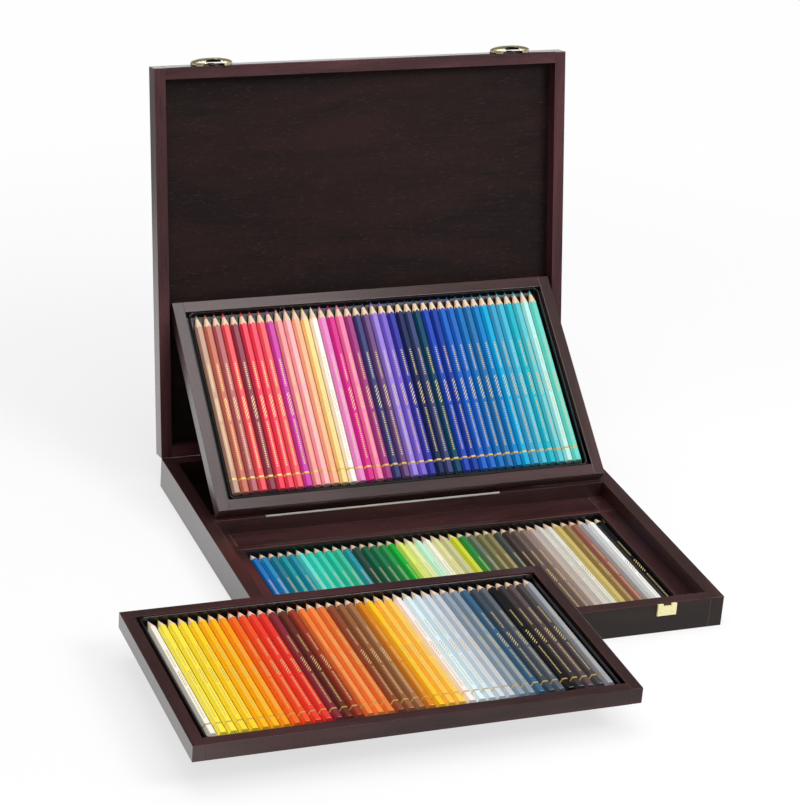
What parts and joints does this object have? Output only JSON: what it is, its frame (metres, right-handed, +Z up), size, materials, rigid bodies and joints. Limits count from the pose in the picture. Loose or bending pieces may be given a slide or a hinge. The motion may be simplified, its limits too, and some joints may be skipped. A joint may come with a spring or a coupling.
{
  "type": "wooden pencil case",
  "caption": "Hinged wooden presentation case for coloured pencils, with a propped lid, a leaning tray, a front tray drawn forward and a bottom row of pencils.",
  "frame": {"origin": "centre of the base's underside, on the table", "axes": "+Z up, -Y towards the front of the case, +X to its right"},
  "size_m": [0.4981, 0.5694, 0.3693],
  "materials": {
    "brass": "polished pale brass",
    "insert_plastic": "matt black moulding",
    "pencil_lacquer": "gloss lacquer in many colours over cedar",
    "plywood": "satin dark stain on thin ply",
    "stained_wood": "satin dark red-brown stain",
    "steel": "bright screws and pins",
    "strip_metal": "satin"
  },
  "bodies": {
    "base": {"base_back_wall": "stained_wood", "base_bottom_board": "plywood", "base_front_wall": "stained_wood", "base_insert": "insert_plastic", "base_left_wall": "stained_wood", "base_pencils": "pencil_lacquer", "base_right_wall": "stained_wood", "deck_back_strip": "stained_wood", "deck_band": "plywood", "deck_left_strip": "stained_wood", "deck_right_strip": "stained_wood", "hinge_base_screws": "steel", "hinge_pins": "steel", "left_hinge_base_leaf": "brass", "left_strike": "brass", "partition": "stained_wood", "partition_strip": "strip_metal", "right_hinge_base_leaf": "brass", "right_strike": "brass", "strike_nails": "brass"},
    "lid": {"clasp_nails": "brass", "hinge_lid_screws": "steel", "left_clasp_pin": "steel", "left_clasp_plate": "brass", "left_clasp_tongue": "steel", "left_hinge_lid_leaf": "brass", "lid_back_rail": "stained_wood", "lid_front_rail": "stained_wood", "lid_left_stile": "stained_wood", "lid_panel": "plywood", "lid_right_stile": "stained_wood", "right_clasp_pin": "steel", "right_clasp_plate": "brass", "right_clasp_tongue": "steel", "right_hinge_lid_leaf": "brass"},
    "left_clasp": {"left_clasp_lever": "brass"},
    "right_clasp": {"right_clasp_lever": "brass"},
    "upper_tray": {"upper_tray_back_rail": "stained_wood", "upper_tray_board": "plywood", "upper_tray_front_rail": "stained_wood", "upper_tray_insert": "insert_plastic", "upper_tray_left_stile": "stained_wood", "upper_tray_pencils": "pencil_lacquer", "upper_tray_right_stile": "stained_wood"},
    "front_tray": {"front_tray_back_rail": "stained_wood", "front_tray_board": "plywood", "front_tray_front_rail": "stained_wood", "front_tray_insert": "insert_plastic", "front_tray_left_stile": "stained_wood", "front_tray_pencils": "pencil_lacquer", "front_tray_right_stile": "stained_wood"}
  },
  "joints": [
    {"name": "lid_hinge", "type": "hinge", "parent": "base", "child": "lid", "pos_m": [0, 0.1718, 0.02715], "axis": [1, 0, 0], "range_deg": [0, 101.5]},
    {"name": "upper_tray_fold", "type": "hinge", "parent": "lid", "child": "upper_tray", "pos_m": [0, 0.19825, 0.15802], "axis": [1, 0, 0], "range_deg": [-139.3, 0]},
    {"name": "front_tray_draw", "type": "slide", "parent": "base", "child": "front_tray", "axis": [0, -1, 0], "range_m": [0, 0.1]},
    {"name": "left_clasp_swing", "type": "hinge", "parent": "lid", "child": "left_clasp", "pos_m": [-0.139, 0.25183, 0.36406], "axis": [-1, 0, 0], "range_deg": [0, 70]},
    {"name": "right_clasp_swing", "type": "hinge", "parent": "lid", "child": "right_clasp", "pos_m": [0.139, 0.25183, 0.36406], "axis": [-1, 0, 0], "range_deg": [0, 70]}
  ],
  "couplings": [
    {"joint": "upper_tray_fold", "follows": "lid_hinge", "ratio": -1.3724},
    {"joint": "front_tray_draw", "follows": "lid_hinge", "m_per_rad": 0.056449}
  ]
}
